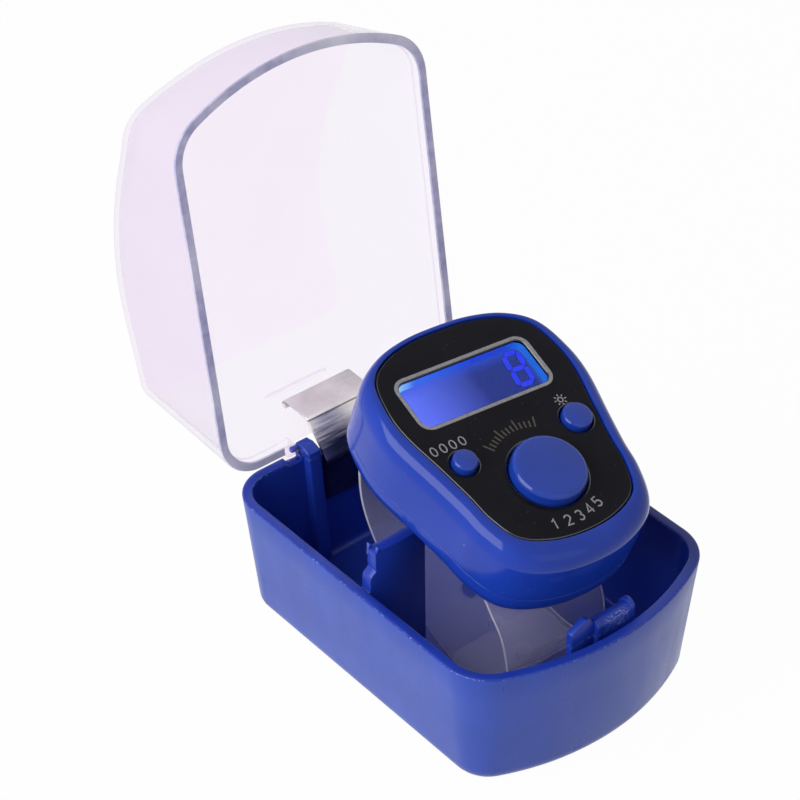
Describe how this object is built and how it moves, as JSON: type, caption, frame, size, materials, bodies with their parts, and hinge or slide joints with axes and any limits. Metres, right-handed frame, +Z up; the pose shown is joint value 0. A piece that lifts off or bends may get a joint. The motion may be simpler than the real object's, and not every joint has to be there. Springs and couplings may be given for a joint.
{
  "type": "digital tally counter",
  "caption": "Digital finger tally counter with display, push buttons and clear strap, lying in a small plastic carrying case with a clear hinged lid.",
  "frame": {"origin": "centre of the carrying case's flat underside", "axes": "+Z up; +Y towards the case's hinge; +X to the right when facing the hinge; the case's curved front faces -Y"},
  "size_m": [0.046, 0.0961, 0.0849],
  "materials": {
    "case_blue": "satin",
    "case_clear": "clear",
    "nickel": "bright nickel plate",
    "counter_blue": "gloss",
    "panel_black": "satin",
    "window_clear": "clear",
    "lcd_blue": "lit from behind",
    "guide_white": "matt",
    "rubber_grey": "matt",
    "board_green": "satin",
    "resin_black": "gloss",
    "brass": "satin",
    "steel": "satin",
    "strap_clear": "frosted clear"
  },
  "bodies": {
    "case": {"case_base": "case_blue", "hinge_spring": "nickel"},
    "lid": {"case_lid": "case_clear"},
    "counter": {"upper_shell": "counter_blue", "lower_shell": "counter_blue", "face_panel": "panel_black", "display_window": "window_clear", "lcd_glass": "lcd_blue", "zebra_strip": "rubber_grey", "backlight_guide": "guide_white", "backlight_led": "guide_white", "keypad_mat": "rubber_grey", "circuit_board": "board_green", "chip_blob": "resin_black", "piezo_buzzer": "brass", "battery_cell_left": "steel", "battery_cell_right": "steel", "battery_contact_upper": "steel", "battery_contact_lower": "steel", "battery_cover": "counter_blue", "battery_cover_screw": "steel", "shell_screw_1": "steel", "shell_screw_2": "steel", "shell_screw_3": "steel", "shell_screw_4": "steel", "board_screw_1": "steel", "board_screw_2": "steel", "strap_long": "strap_clear", "strap_short": "strap_clear"},
    "count_key": {"count_button": "counter_blue"},
    "reset_key": {"reset_button": "counter_blue"},
    "led_key": {"led_button": "counter_blue"}
  },
  "joints": [
    {"name": "lid_hinge", "type": "hinge", "parent": "case", "child": "lid", "pos_m": [0, 0.03135, 0.0226], "axis": [-1, 0, 0], "range_deg": [-98.3, 0], "deforming": ["hinge_spring"]},
    {"name": "counter_lift", "type": "slide", "parent": "case", "child": "counter", "axis": [0, 0, 1], "range_m": [0, 0.05]},
    {"name": "count_press", "type": "slide", "parent": "counter", "child": "count_key", "axis": [-0.0158, 0.3256, -0.9454], "range_m": [0, 0.001], "stiffness_N_per_m": 300, "springref_m": -0.0005},
    {"name": "reset_press", "type": "slide", "parent": "counter", "child": "reset_key", "axis": [-0.0158, 0.3256, -0.9454], "range_m": [0, 0.0006], "stiffness_N_per_m": 300, "springref_m": -0.0005},
    {"name": "led_press", "type": "slide", "parent": "counter", "child": "led_key", "axis": [-0.0158, 0.3256, -0.9454], "range_m": [0, 0.0006], "stiffness_N_per_m": 300, "springref_m": -0.0005}
  ]
}
